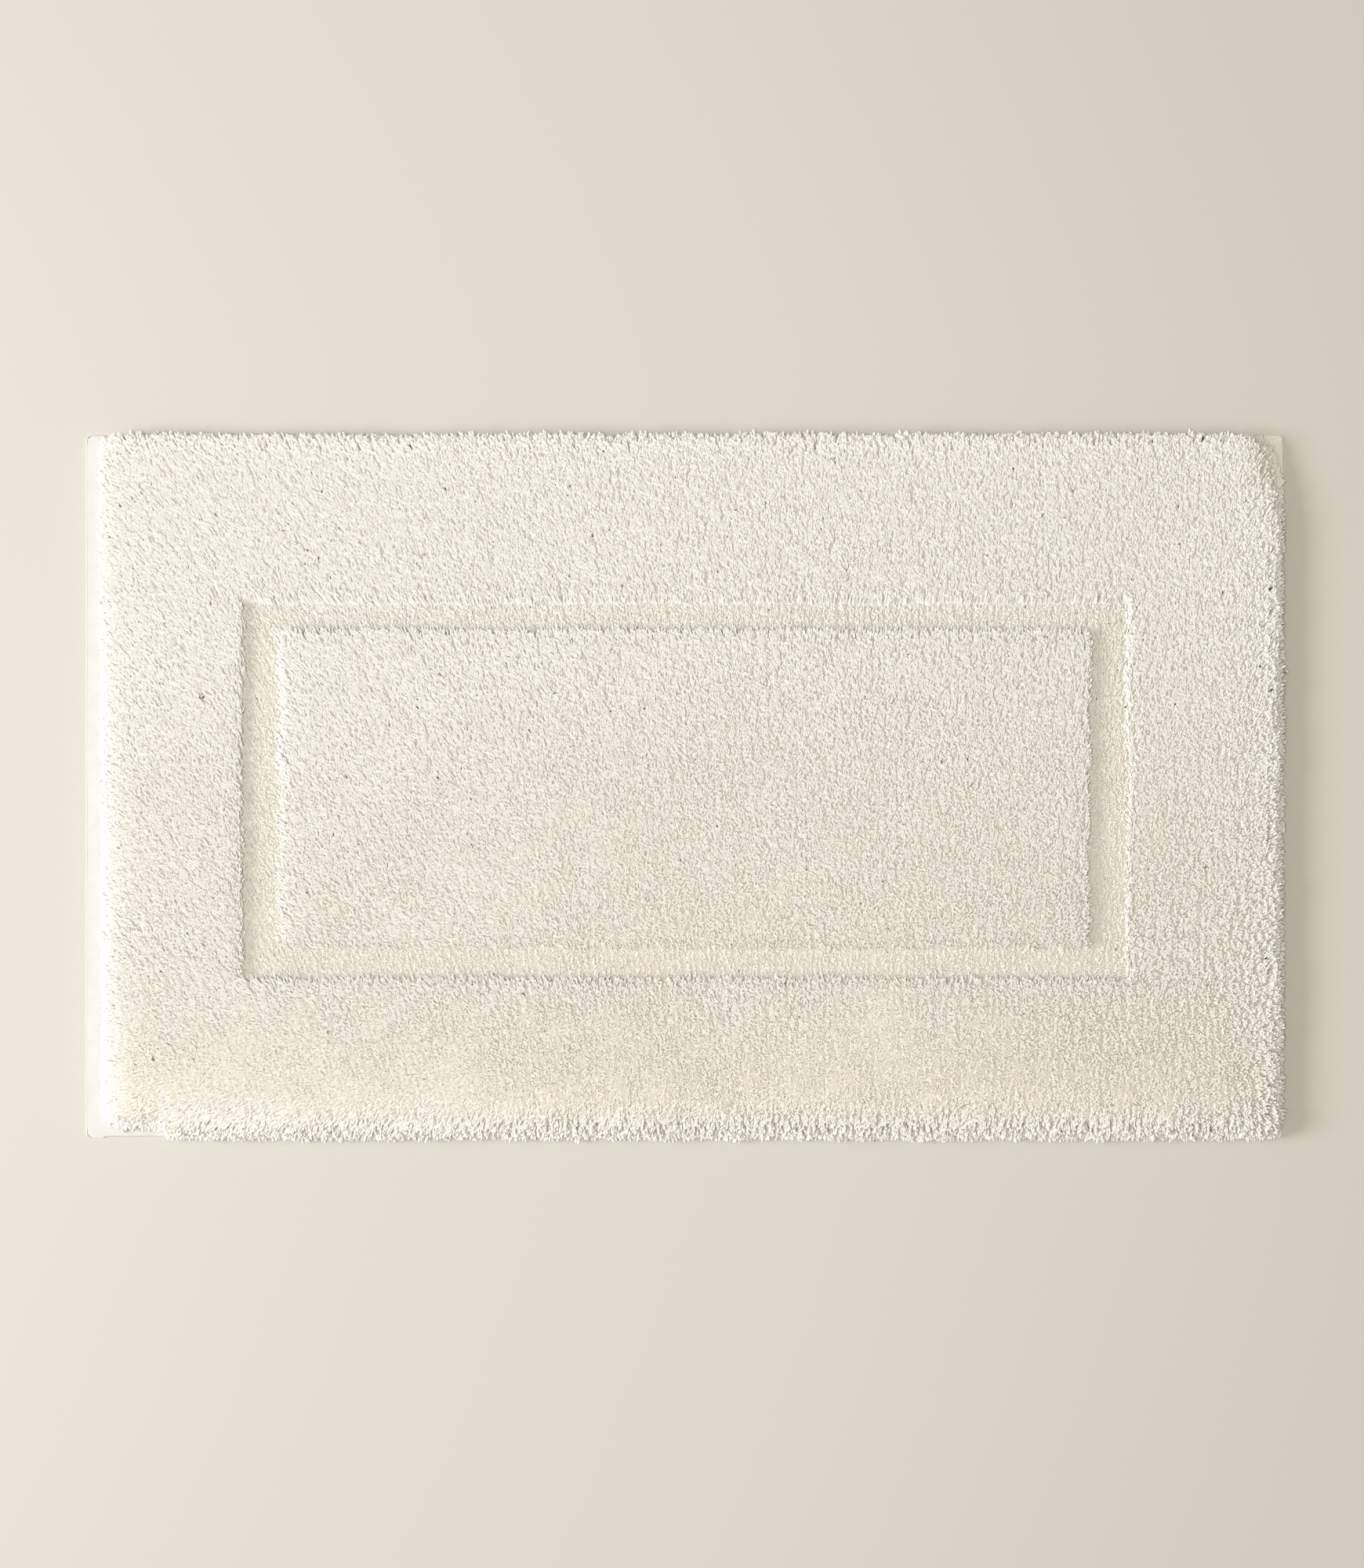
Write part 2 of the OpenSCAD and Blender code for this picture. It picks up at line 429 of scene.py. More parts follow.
def noise(tree, scale, detail=2.0):
    place = tree.nodes.new("ShaderNodeTexCoord")
    node = tree.nodes.new("ShaderNodeTexNoise")
    node.inputs["Scale"].default_value = scale
    node.inputs["Detail"].default_value = detail
    tree.links.new(place.outputs["Object"], node.inputs["Vector"])
    return node.outputs["Fac"]


def mix_colour(tree, factor, low, high):
    """A colour between low and high, each a fixed colour or a node's output."""
    mix = tree.nodes.new("ShaderNodeMix")
    mix.data_type = "RGBA"
    for socket, value in ((mix.inputs["A"], low), (mix.inputs["B"], high)):
        if isinstance(value, tuple):
            socket.default_value = (*value, 1)
        else:
            tree.links.new(value, socket)
    tree.links.new(factor, mix.inputs["Factor"])
    return mix.outputs["Result"]


def map_range(tree, value, low, high):
    """value brought from low..high to 0..1."""
    node = tree.nodes.new("ShaderNodeMapRange")
    node.inputs["From Min"].default_value = low
    node.inputs["From Max"].default_value = high
    tree.links.new(value, node.inputs["Value"])
    return node.outputs["Result"]


def object_axis(tree, axis):
    place = tree.nodes.new("ShaderNodeTexCoord")
    split = tree.nodes.new("ShaderNodeSeparateXYZ")
    tree.links.new(place.outputs["Object"], split.inputs["Vector"])
    return split.outputs[axis]


def yarn_material(name, root, dark, light, low_z, high_z):
    """Cotton yarn: each end a little lighter or darker at random, with painted shade, darker and warmer
    down in the pile (the colour root) and warmer on the flanks of each end, and painted light, one
    even, lighter shade at the left end.
    """
    material, tree, shader = node_material(name, 0.95, sheen=0.5)
    ends = tree.nodes.new("ShaderNodeNewGeometry")
    shade = mix_colour(tree, ends.outputs["Random Per Island"], dark, light)
    shade = mix_colour(tree, map_range(tree, noise(tree, 160.0), 0.35, 0.75), shade, light)
    facing = tree.nodes.new("ShaderNodeSeparateXYZ")
    tree.links.new(ends.outputs["True Normal"], facing.inputs["Vector"])
    # painted shade: the flanks of each end, whose true normals face sideways, take a warmer tone
    shade = mix_colour(tree, map_range(tree, facing.outputs["Z"], -0.1, 0.45), YARN_SIDE_SHADE, shade)
    # painted shade: darker and warmer down in the pile, from high_z down to low_z
    shade = mix_colour(tree, map_range(tree, object_axis(tree, "Z"), low_z, high_z), root, shade)
    # painted light: the yarn of the left end brought to one even, lighter shade
    flank = map_range(tree, object_axis(tree, "X"), -half_x + 20 * MM, -half_x + 38 * MM)
    shade = mix_colour(tree, flank, YARN_LEFT_PAINTED_LIGHT, shade)
    tree.links.new(shade, shader.inputs["Base Color"])
    return material


# painted shade: the first colour is the yarn's darker, warmer tone down in the pile, where the strands
# shade each other; the other two are its random tones
YARN_DEPTH_SHADE, YARN_DARK, YARN_LIGHT = (0.71, 0.66, 0.565), (0.835, 0.815, 0.76), (0.895, 0.888, 0.85)
# painted light: the yarn of the edges and the channel's walls, lighter than the same yarn elsewhere, for
# the light that passes through the thin fringe; its first colour, down at the root, is a slightly darker,
# warmer painted shade
EDGE_DEPTH_SHADE, EDGE_DARK, EDGE_LIGHT = (0.88, 0.857, 0.80), (0.885, 0.87, 0.825), (0.94, 0.933, 0.90)
# painted shade: the channel yarn's darker, warmer tone down in the pile
SHEARED_DEPTH_SHADE = (0.73, 0.685, 0.595)
YARN_SIDE_SHADE = (0.855, 0.825, 0.755)        # painted shade: the flanks of each end, warmer than its cut face, for the warm shade between the ends
# painted light: one even, lighter shade for the yarn of the left end, set to its near-white tone in
# the photograph; the real yarn is most likely the same there as elsewhere, and only lit more strongly
YARN_LEFT_PAINTED_LIGHT = (0.84, 0.828, 0.785)
yarn = yarn_material("cut_pile_yarn", YARN_DEPTH_SHADE, YARN_DARK, YARN_LIGHT, root_z + 11 * MM, root_z + 16 * MM)
# painted light and shade: the edge yarn lighter than the rest, and a little darker and warmer at its root
edge_yarn = yarn_material(
    "edge_pile_yarn", EDGE_DEPTH_SHADE, EDGE_DARK, EDGE_LIGHT, root_z + 1 * MM, root_z + 9 * MM)
sheared_yarn = yarn_material(
    "sheared_pile_yarn", SHEARED_DEPTH_SHADE, YARN_DARK, YARN_LIGHT, root_z + 4 * MM, root_z + 9 * MM)
# painted shade: the bed is the same yarn as the strands, painted darker and warmer for the shade deep in
# the pile
bed_yarn = yarn_material("pile_bed_yarn", YARN_DEPTH_SHADE, (0.73, 0.695, 0.625), (0.785, 0.757, 0.70), 0, root_z)


def wave(tree, direction, period):
    """A sine from 0 to 1 along one axis, with this period in metres."""
    place = tree.nodes.new("ShaderNodeTexCoord")
    node = tree.nodes.new("ShaderNodeTexWave")
    node.bands_direction = direction
    node.inputs["Scale"].default_value = 2 * math.pi / (20 * period)
    node.inputs["Distortion"].default_value = 1.2
    node.inputs["Detail"].default_value = 1.0
    tree.links.new(place.outputs["Object"], node.inputs["Vector"])
    return node.outputs["Fac"]


def math_node(tree, operation, first, second):
    node = tree.nodes.new("ShaderNodeMath")
    node.operation = operation
    for socket, value in zip(node.inputs, (first, second)):
        if isinstance(value, float):
            socket.default_value = value
        else:
            tree.links.new(value, socket)
    return node.outputs["Value"]


def add_bump(tree, shader, height, strength, distance):
    bump = tree.nodes.new("ShaderNodeBump")
    bump.inputs["Strength"].default_value = strength
    bump.inputs["Distance"].default_value = distance
    tree.links.new(height, bump.inputs["Height"])
    tree.links.new(bump.outputs["Normal"], shader.inputs["Normal"])


# painted light: a lighter cloth at the right end, set to the photograph's tone of the bare corner
# there; the real cloth is most likely one shade all over
CLOTH_RIGHT_PAINTED_LIGHT = (0.93, 0.92, 0.885)


def woven_material(name, shaded, lit, pitch):
    """Plain-weave cotton: warp and weft as two crossed waves, in colour, roughness and bump. The slubs
    vary at random between shaded and lit; the raised crossings take the lit colour as a painted
    highlight, and the right end is painted lighter.
    """
    material, tree, shader = node_material(name, 0.9, sheen=0.15)
    weave = math_node(tree, "MULTIPLY", wave(tree, "X", pitch), wave(tree, "Y", pitch))
    slub = map_range(tree, noise(tree, 90.0, detail=4.0), 0.3, 0.7)
    shade = mix_colour(tree, math_node(tree, "MULTIPLY", slub, 0.7), shaded, lit)
    # painted highlight: the raised crossings of the weave lighter
    shade = mix_colour(tree, math_node(tree, "MULTIPLY", weave, 0.6), shade, lit)
    # painted light: the cloth lighter towards the right end
    right_end = map_range(tree, object_axis(tree, "X"), half_x - 90 * MM, half_x - 25 * MM)
    shade = mix_colour(tree, math_node(tree, "MULTIPLY", right_end, 0.85), shade, CLOTH_RIGHT_PAINTED_LIGHT)
    tree.links.new(shade, shader.inputs["Base Color"])
    rough = tree.nodes.new("ShaderNodeMapRange")
    rough.inputs["To Min"].default_value = 0.95
    rough.inputs["To Max"].default_value = 0.82
    tree.links.new(weave, rough.inputs["Value"])
    tree.links.new(rough.outputs["Result"], shader.inputs["Roughness"])
    add_bump(tree, shader, weave, 0.35, 0.12 * MM)
    return material


def latex_material():
    """Foamed latex: matt cream with darker pits, scuffed lighter on its ridges."""
    material, tree, shader = node_material("latex_backing", 0.62)
    pits = map_range(tree, noise(tree, 900.0, detail=3.0), 0.35, 0.6)
    shade = mix_colour(tree, pits, (0.60, 0.55, 0.43), (0.74, 0.70, 0.59))
    stain = map_range(tree, noise(tree, 22.0, detail=4.0), 0.45, 0.75)
    shade = mix_colour(tree, stain, shade, (0.69, 0.635, 0.50))
    ridges = map_range(tree, object_axis(tree, "Z"), 0.25 * MM, 0.0)
    shade = mix_colour(tree, math_node(tree, "MULTIPLY", ridges, 0.5), shade, (0.80, 0.77, 0.68))
    tree.links.new(shade, shader.inputs["Base Color"])
    add_bump(tree, shader, pits, 0.5, 0.15 * MM)
    return material


def thread_material():
    """Spun polyester sewing thread: white plies with a faint gloss, lighter or darker in small patches."""
    material, tree, shader = node_material("sewing_thread", 0.5, sheen=0.2)
    shade = mix_colour(tree, map_range(tree, noise(tree, 2500.0, detail=2.0), 0.3, 0.7),
                       (0.80, 0.785, 0.74), (0.88, 0.875, 0.85))
    tree.links.new(shade, shader.inputs["Base Color"])
    return material


cloth = woven_material("woven_cotton", (0.70, 0.692, 0.66), (0.765, 0.76, 0.735), 0.9 * MM)
latex = latex_material()
thread = thread_material()

# ---------------------------------------------------------------- the pile


def place_pile(piece, node, material):
    piece.data.materials.append(material)
    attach(piece, "root")
    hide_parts(node)


def outward_splay(x, y):
    """Extra lean of the outer tufts, out over the hem."""
    d = edge_distance(x, y)
    lean = np.zeros((len(x), 2))
    for side, way, amount, reach in (("left", (-1, 0), 0.35, 9), ("right", (1, 0), 0.75, 13),
                                     ("front", (0, -1), 0.95, 15), ("back", (0, 1), 0.3, 8)):
        share = np.exp(-(d[side] - ROOT_INSET[side]) / (reach * MM))
        lean += amount * share[:, None] * np.array(way)
    return lean


def channel_splay(x, y, depth, reach_x, reach_y, outward):
    """Extra lean of the tufts beside a sheared line, towards the channel."""
    across = (reach_x - np.abs(x)) < (reach_y - np.abs(y))
    share = np.exp(-np.abs(depth) / (4 * MM)) * np.where(across, 0.15, 0.10)
    way = np.where(across[:, None], np.stack([np.sign(x), 0 * x], 1), np.stack([0 * y, np.sign(y)], 1))
    return share[:, None] * way * (1 if outward else -1)


def sheared(points, height, jitter):
    """The strands lengthened or shortened a little, so that their tips lie level, as shears leave them."""
    root = points[:, :1]
    reach = points[:, -1, 2] - root_z
    cut = height * (1 + rng.normal(0, jitter, len(points))) * shoulder(root[:, 0, 0], root[:, 0, 1])
    share = np.clip(cut / reach, 0.3, 1.10)
    return root + (points - root) * share[:, None, None]


EDGE_BLOOM, LEFT_BLOOM = 0.35, 0.4      # how much fuller the yarn stands at the edges, and at the left end
EDGE_LOCKS = 1.4            # how much more the locks draw together at the mat's edge
FRONT_LOCKS = 0.7           # and in its front half, where the yarn stands almost upright


def field_strands(mask, length, height, jitter, wall_lean, cells):
    x, y = all_x[mask], all_y[mask]
    n = len(x)
    gather = 1 + EDGE_LOCKS * np.exp(-rooted_depth(x, y) / (5 * MM)) \
        + FRONT_LOCKS * ramp(-y / half_y, 0.0, 0.7)
    lean = lean_field(x, y) * jitter["comb"] + wall_lean
    for cell_x, cell_y, pull_share, mood_share, seed in cells:
        pull, mood = clump_pull(x, y, cell_x * MM, cell_y * MM, seed)
        pull_lean = pull * (pull_share / (TIP_SHARE * length)) * np.array((1.0, 0.3))
        lean += pull_lean * gather[:, None] + mood * mood_share
    lean += rng.normal(0, jitter["strand"], (n, 2))
    points = strand_shape(x, y, np.full(n, length), lean, rng.normal(0, 0.5, n))
    return sheared(points, height, jitter["length"])


def strand_pieces(prefix, node, material, points, start, roundness=None):
    """The field's strands, those that show at full length apart, sorted along X and cut into pieces."""
    top_rings = CHANNEL_RINGS if node == "channel_pile" else SHORT_RINGS
    for suffix, chosen, ring_plan, paint in (("rim", start < 0.3, LONG_RINGS, edge_yarn),
                                             ("top", start >= 0.3, top_rings, material)):
        order = np.flatnonzero(chosen)
        if not len(order):
            continue
        order = order[np.argsort(points[order, 0, 0], kind="stable")]
        triangles = len(order) * (2 * SIDES * (len(ring_plan) - 1) + SIDES + 1)
        for k, part in enumerate(np.array_split(order, math.ceil(triangles / MOST_TRIANGLES))):
            left_depth = points[part, 0, 0] + half_x - ROOT_INSET["left"]
            depth = rooted_depth(points[part, 0, 0], points[part, 0, 1])
            bloom = 1 + EDGE_BLOOM * np.exp(-depth / (6 * MM)) \
                + LEFT_BLOOM * np.exp(-np.clip(left_depth, 0, None) / (7 * MM))
            radius = YARN_R * (1 + rng.normal(0, 0.08, len(part))) * bloom
            name = f"{prefix}_{suffix}_{k + 1:02d}"
            piece = strand_mesh(name, points[part], start[part], radius, ring_plan,
                                roundness or ROUNDNESS[node])
            place_pile(piece, node, paint)


# kinds of lock: size in X and Y in mm, pull to its middle, lean of its own, seed
CLUMPS = ((9.0, 14.0, 0.12, 0.02, 401), (4.2, 8.0, 0.34, 0.03, 402))
MESHED_FROM, CHANNEL_MESHED_FROM = 0.54, 0.50   # share of a strand that the bed stands in for
high_jitter = {"comb": 1.0, "strand": 0.09, "length": 0.014}
low_jitter = {"comb": CHANNEL_COMB, "strand": 0.11, "length": 0.05}

x, y = all_x[in_border], all_y[in_border]
wall = outward_splay(x, y) + channel_splay(x, y, channel_depth[in_border], channel_x, channel_y, False)
border_points = field_strands(in_border, STRAND_LENGTH, CUT_HEIGHT, high_jitter, wall, CLUMPS)
near_wall = np.minimum(rooted_depth(x, y), np.abs(channel_depth[in_border]))
border_start = MESHED_FROM * ramp(near_wall, 1 * MM, 6 * MM)
strand_pieces("border_strands", "border_pile", yarn, border_points, border_start)

x, y = all_x[in_panel], all_y[in_panel]
wall = channel_splay(x, y, panel_depth[in_panel], panel_x, panel_y, True)
panel_points = field_strands(in_panel, STRAND_LENGTH, CUT_HEIGHT, high_jitter, wall, CLUMPS)
panel_start = MESHED_FROM * ramp(panel_depth[in_panel], 1 * MM, 6 * MM)
strand_pieces("panel_strands", "centre_pile", yarn, panel_points, panel_start)

channel_points = field_strands(in_channel, CHANNEL_LENGTH, CHANNEL_CUT, low_jitter, 0, CLUMPS)
channel_start = np.full(len(channel_points), CHANNEL_MESHED_FROM)
strand_pieces("channel_strands", "channel_pile", sheared_yarn,
              channel_points, channel_start)

SKIRT_DEPTH = 6.5 * MM      # the outermost rows, whose tufts lie out over the hem and close the pile's side
SKIRT_LAYERS = 3
SKIRT_LENGTH = {"longest": 0.60, "shortest": 0.32, "left": 0.70}


def skirt_strands():
    """The short, low tufts of the outermost rows, fanned out from upright to drooping on the hem."""
    outer = np.repeat(np.flatnonzero(rooted_depth(all_x, all_y) < SKIRT_DEPTH), SKIRT_LAYERS)
    x = all_x[outer] + rng.uniform(-0.5, 0.5, len(outer)) * END_PITCH
    y = all_y[outer] + rng.uniform(-0.5, 0.5, len(outer)) * END_PITCH
    near = 1 - np.clip(rooted_depth(x, y) / SKIRT_DEPTH, 0, 1)
    fan = rng.uniform(0.35, 0.85, len(x)) + 1.15 * near
    lean = way_out(x, y) * fan[:, None] + 0.3 * lean_field(x, y) + rng.normal(0, 0.12, (len(x), 2))
    pull, _ = clump_pull(x, y, 4.2 * MM, 8.0 * MM, 402)
    lean += pull * (0.5 / (TIP_SHARE * STRAND_LENGTH))
    length = rng.uniform(SKIRT_LENGTH["shortest"], SKIRT_LENGTH["longest"], len(x)) * STRAND_LENGTH
    length *= np.where(x + half_x < ROOT_INSET["left"] + SKIRT_DEPTH, SKIRT_LENGTH["left"], 1.0)
    return strand_shape(x, y, length, lean, rng.normal(0, 0.6, len(x)))


skirt_points = skirt_strands()
strand_pieces("skirt_strands", "border_pile", edge_yarn,
              skirt_points, np.zeros(len(skirt_points)), SKIRT_ROUNDNESS)

# ---------------------------------------------------------------- the felted bed under the strands


def slope_normals(height, xs, ys):
    """Upward normals of a height field on a grid."""
    slope_x, slope_y = np.gradient(height, xs, ys)
    normal = np.stack([-slope_x, -slope_y, np.ones(height.shape)], -1).reshape(-1, 3)
    return normal / np.linalg.norm(normal, axis=1)[:, None]


def grid_slab(name, xs, ys, keep, top, bottom):
    """A closed slab on the cells of a grid that keep(x, y) marks, with heights top and bottom(x, y)."""
    gx, gy = np.meshgrid(xs, ys, indexing="ij")
    cx, cy = np.meshgrid((xs[1:] + xs[:-1]) / 2, (ys[1:] + ys[:-1]) / 2, indexing="ij")
    cells = keep(cx, cy)
    index = np.arange(gx.size).reshape(gx.shape)
    i, j = np.nonzero(cells)
    a, b, c, d = index[i, j], index[i + 1, j], index[i + 1, j + 1], index[i, j + 1]
    size = gx.size
    faces = [np.stack([a, b, c, d], 1), np.stack([d, c, b, a], 1) + size]
    padded = np.pad(cells, 1)
    for di, dj, p, q in ((-1, 0, d, a), (1, 0, b, c), (0, -1, a, b), (0, 1, c, d)):
        rim = ~padded[i + 1 + di, j + 1 + dj]
        p, q = p[rim], q[rim]
        faces.append(np.stack([q, p, p + size, q + size], 1))
    faces = np.concatenate(faces)
    vertices = np.concatenate([
        np.stack([gx.ravel(), gy.ravel(), top(gx, gy).ravel()], 1),
        np.stack([gx.ravel(), gy.ravel(), bottom(gx, gy).ravel()], 1)])
    normals = np.concatenate([slope_normals(top(gx, gy), xs, ys), -slope_normals(bottom(gx, gy), xs, ys)])
    used = np.unique(faces)
    lookup = np.zeros(len(vertices), int)
    lookup[used] = np.arange(len(used))
    return mesh_object(name, vertices[used], lookup[faces].ravel(), np.full(len(faces), 4), normals[used])


BED_STEP = 3 * MM
BED_INSET = 6 * MM


def steps(low, high, step):
    return np.linspace(low, high, max(2, int(round((high - low) / step)) + 1))


def ring_axis(outer, inner, step):
    """Grid lines from -outer to outer that include -inner and inner."""
    side = steps(inner, outer, step)
    return np.concatenate([-side[::-1], steps(-inner, inner, step)[1:-1], side])


HIGH_BED, LOW_BED = 12.0 * MM, 5.0 * MM     # height of the bed under the high and the sheared pile
BED_SLOPE = 1.8 * MM        # how much higher it is at the back edge than in the middle
BED_SHARE = 0.35            # sideways travel of a strand from the bed's height to its tip, as TIP_SHARE


def bumps(x, y):
    return smooth_noise(x, y, 9 * MM, 301) * 0.5 * MM


def bed_top(x, y):
    """Height of the felted yarn: it drops in the channel, where the combed strands cross its height."""
    lean = lean_field(x.ravel(), y.ravel()) * BED_SHARE * STRAND_LENGTH
    cut_x, cut_y = x + lean[:, 0].reshape(x.shape), y + lean[:, 1].reshape(x.shape)
    outside = -inside_depth(cut_x, cut_y, channel_x + CUT_BACK, channel_y, 31)
    inside = inside_depth(cut_x, cut_y, panel_x - CUT_BACK, panel_y, 61)
    high = ramp(np.maximum(outside, inside), 0, 3 * MM)
    kept = shoulder(x.ravel(), y.ravel()).reshape(x.shape)
    upper = HIGH_BED + BED_SLOPE * y / half_y
    height = (LOW_BED + (upper - LOW_BED) * high) * kept + bumps(x, y)
    rise = 1 - np.exp(-np.clip(rooted_depth(x, y) - 0.5 * MM, 0, 1) / (2 * MM))
    return root_z + 0.3 * MM + height * rise


def bed_bottom(x, y):
    return np.full(x.shape, root_z - 0.05 * MM)


outer_x, outer_y = half_x - BED_INSET, half_y - BED_INSET

border_bed = grid_slab(
    "border_bed", ring_axis(outer_x, channel_x, BED_STEP), ring_axis(outer_y, channel_y, BED_STEP),
    lambda x, y: ((np.abs(x) > channel_x) | (np.abs(y) > channel_y)) & (rooted_depth(x, y) > 0),
    bed_top, bed_bottom)
place_pile(border_bed, "border_pile", bed_yarn)

channel_bed = grid_slab(
    "channel_bed", ring_axis(channel_x, panel_x, BED_STEP), ring_axis(channel_y, panel_y, BED_STEP),
    lambda x, y: (np.abs(x) > panel_x) | (np.abs(y) > panel_y), bed_top, bed_bottom)
place_pile(channel_bed, "channel_pile", bed_yarn)

panel_bed = grid_slab(
    "panel_bed", steps(-panel_x, panel_x, BED_STEP), steps(-panel_y, panel_y, BED_STEP),
    lambda x, y: np.ones(x.shape, bool), bed_top, bed_bottom)
place_pile(panel_bed, "centre_pile", bed_yarn)

# ---------------------------------------------------------------- cloth, hems, latex and thread

CLOTH_T = cloth_high.z - cloth_low.z
CORNER_R = 3.5 * MM
OUTER_TURN_R = (root_z - hem_low.z) / 2 - CLOTH_T / 2       # of the middle of the cloth
INNER_TURN_R = (cloth_bottom - hem_low.z) / 2 - CLOTH_T / 2
RAW_EDGE = 2.4 * MM                                         # the turned-in edge, from the mat's edge
STATION = 3 * MM


def outline_wave(along, side):
    """How far the hem's edge strays outwards, at places along it."""
    seed = {"left": 701, "right": 711, "front": 721, "back": 731}[side]
    return 0.35 * MM * smooth_noise(along, 0 * along, 60 * MM, seed) \
        + 0.22 * MM * smooth_noise(along, 0 * along, 14 * MM, seed + 1)


def hem_profile():
    """Centre line of the folded hem's section: distance in from the mat's edge, and height."""
    lower_z = hem_low.z + CLOTH_T / 2
    outer_x0, inner_x0 = OUTER_TURN_R + CLOTH_T / 2, hem_width - INNER_TURN_R - CLOTH_T / 2
    inner_z = lower_z + 2 * INNER_TURN_R
    points = []
    for k in range(9):
        angle = math.pi / 2 + math.pi * k / 8
        points.append((outer_x0 + OUTER_TURN_R * math.cos(angle),
                       lower_z + OUTER_TURN_R * (1 + math.sin(angle))))
    points += [(outer_x0 + (inner_x0 - outer_x0) * k / 8, lower_z) for k in range(1, 8)]
    for k in range(7):
        angle = -math.pi / 2 + math.pi * k / 6
        points.append((inner_x0 + INNER_TURN_R * math.cos(angle),
                       lower_z + INNER_TURN_R * (1 + math.sin(angle))))
    points += [(inner_x0 - (inner_x0 - RAW_EDGE) * k / 8, inner_z) for k in range(1, 9)]
    return np.array(points)


def offset_both_ways(profile, distance):
    """The section's two faces: the centre line moved out and in by a distance."""
    ahead = np.roll(profile, -1, 0) - np.roll(profile, 1, 0)
    ahead[0], ahead[-1] = profile[1] - profile[0], profile[-1] - profile[-2]
    ahead /= np.linalg.norm(ahead, axis=1)[:, None]
    normal = np.stack([-ahead[:, 1], ahead[:, 0]], 1)
    return profile + normal * distance, profile - normal * distance


def swept_ribbon(name, stations, place):
    """A closed ribbon: the hem's section at each station, put in place by place(inset, z, station)."""
    first, second = offset_both_ways(hem_profile(), CLOTH_T / 2)
    loop = np.concatenate([first, second[::-1]])
    rows = len(loop)
    vertices = np.concatenate([place(loop[:, 0], loop[:, 1], t) for t in stations])
    j = np.arange(rows)
    after = (j + 1) % rows
    faces = [np.stack([j + k * rows, after + k * rows, after + (k + 1) * rows, j + (k + 1) * rows], 1)
             for k in range(len(stations) - 1)]
    half = rows // 2
    i = np.arange(half - 1)
    start_cap = np.stack([i + 1, i, rows - 1 - i, rows - 2 - i], 1)
    faces += [start_cap, start_cap[:, ::-1] + (len(stations) - 1) * rows]
    faces = np.concatenate(faces)
    return mesh_object(name, vertices, faces.ravel(), np.full(len(faces), 4))


def corner_inset(from_end):
    """How far the outline draws in near a round corner, at a distance from the end."""
    d = np.clip(from_end, 0, CORNER_R)
    return CORNER_R - math.sqrt(max(CORNER_R ** 2 - (CORNER_R - d) ** 2, 0))


HEM_PUFF = 0.12 * MM        # how much the fold swells upwards at the mat's edge, up to twice this


def hem_piece(side):
    """One turned hem. The end hems run the whole width, the long hems between them."""
    end = side in ("left", "right")
    reach = half_y if end else half_x - hem_width
    stations = steps(-reach, reach, STATION)
    if end:
        near = reach - np.array([0.0, 0.2, 0.6, 1.2, 2.0]) * MM
        stations = np.unique(np.concatenate([-near, stations[2:-2], near]))
    sign = 1 if side in ("right", "back") else -1
    half = half_x if end else half_y

    def place(inset, z, t):
        along = np.full(inset.shape, t)
        drawn_in = corner_inset(reach - abs(t)) if end else 0.0
        squeeze = 1 - np.clip(inset, 0, hem_width) / hem_width
        across = sign * (half - inset - squeeze * (drawn_in + 0.6 * MM - outline_wave(along, side)))
        lift = HEM_PUFF * (1 + smooth_noise(along, inset, 12 * MM, 741)) \
            * np.clip(1 - inset / (6 * MM), 0, 1) * (z - hem_low.z) / (root_z - hem_low.z)
        if end:
            return np.stack([across, along, z + lift], 1)
        return np.stack([along, across, z + lift], 1)

    piece = swept_ribbon("hem_cloth_" + side, stations, place)
    return piece, 2 * reach


hem_length = sum(np.linalg.norm(np.diff(hem_profile(), axis=0), axis=1))
for side in SIDE_WAY:
    hem, length = hem_piece(side)
    hem.data.materials.append(cloth)
    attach(hem, "root")
    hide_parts("hem_" + side)


def cloth_puff(x, y):
    """The bare margin of the cloth isn't quite flat: it lifts a little between its stitches."""
    margin = np.clip(1 - np.min(list(edge_distance(x, y).values()), axis=0) / (16 * MM), 0, 1)
    return 0.22 * MM * (1 + smooth_noise(x, y, 13 * MM, 751)) / 2 * np.clip(2 * margin, 0, 1)


def slab_ground_cloth():
    """The flat middle of the cloth, up to where it turns down into the hems."""
    inset = OUTER_TURN_R + CLOTH_T / 2
    xs, ys = steps(-half_x + inset, half_x - inset, 6 * MM), steps(-half_y + inset, half_y - inset, 6 * MM)
    made = grid_slab("ground_cloth_sheet", xs, ys, lambda x, y: np.ones(x.shape, bool),
                     lambda x, y: cloth_high.z + cloth_puff(x, y),
                     lambda x, y: cloth_low.z + cloth_puff(x, y))
    co = np.empty(len(made.data.vertices) * 3, np.float32)
    made.data.vertices.foreach_get("co", co)
    co = co.reshape(-1, 3)
    limit = np.array([xs[-1], ys[-1]])
    radius = CORNER_R - inset
    for side, way in SIDE_WAY.items():
        axis = 0 if way[0] else 1
        d = limit[axis] - co[:, axis] * way[axis]
        share = np.clip(1 - d / (12 * MM), 0, 1)
        co[:, axis] -= way[axis] * share * (0.6 * MM - outline_wave(co[:, 1 - axis].astype(float), side))
    centre = limit - radius
    over = np.clip(np.abs(co[:, :2]) - centre, 0, None)
    far = np.hypot(over[:, 0], over[:, 1])
    square = np.maximum(over[:, 0], over[:, 1])
    pull_in = np.where(far > 0, square / np.maximum(far, 1e-9), 1.0)
    inside = (over.min(1) > 0)
    co[inside, :2] = (np.sign(co[:, :2]) * (centre + over * pull_in[:, None]))[inside]
    made.data.vertices.foreach_set("co", co.ravel())
    made.data.update()
    return made


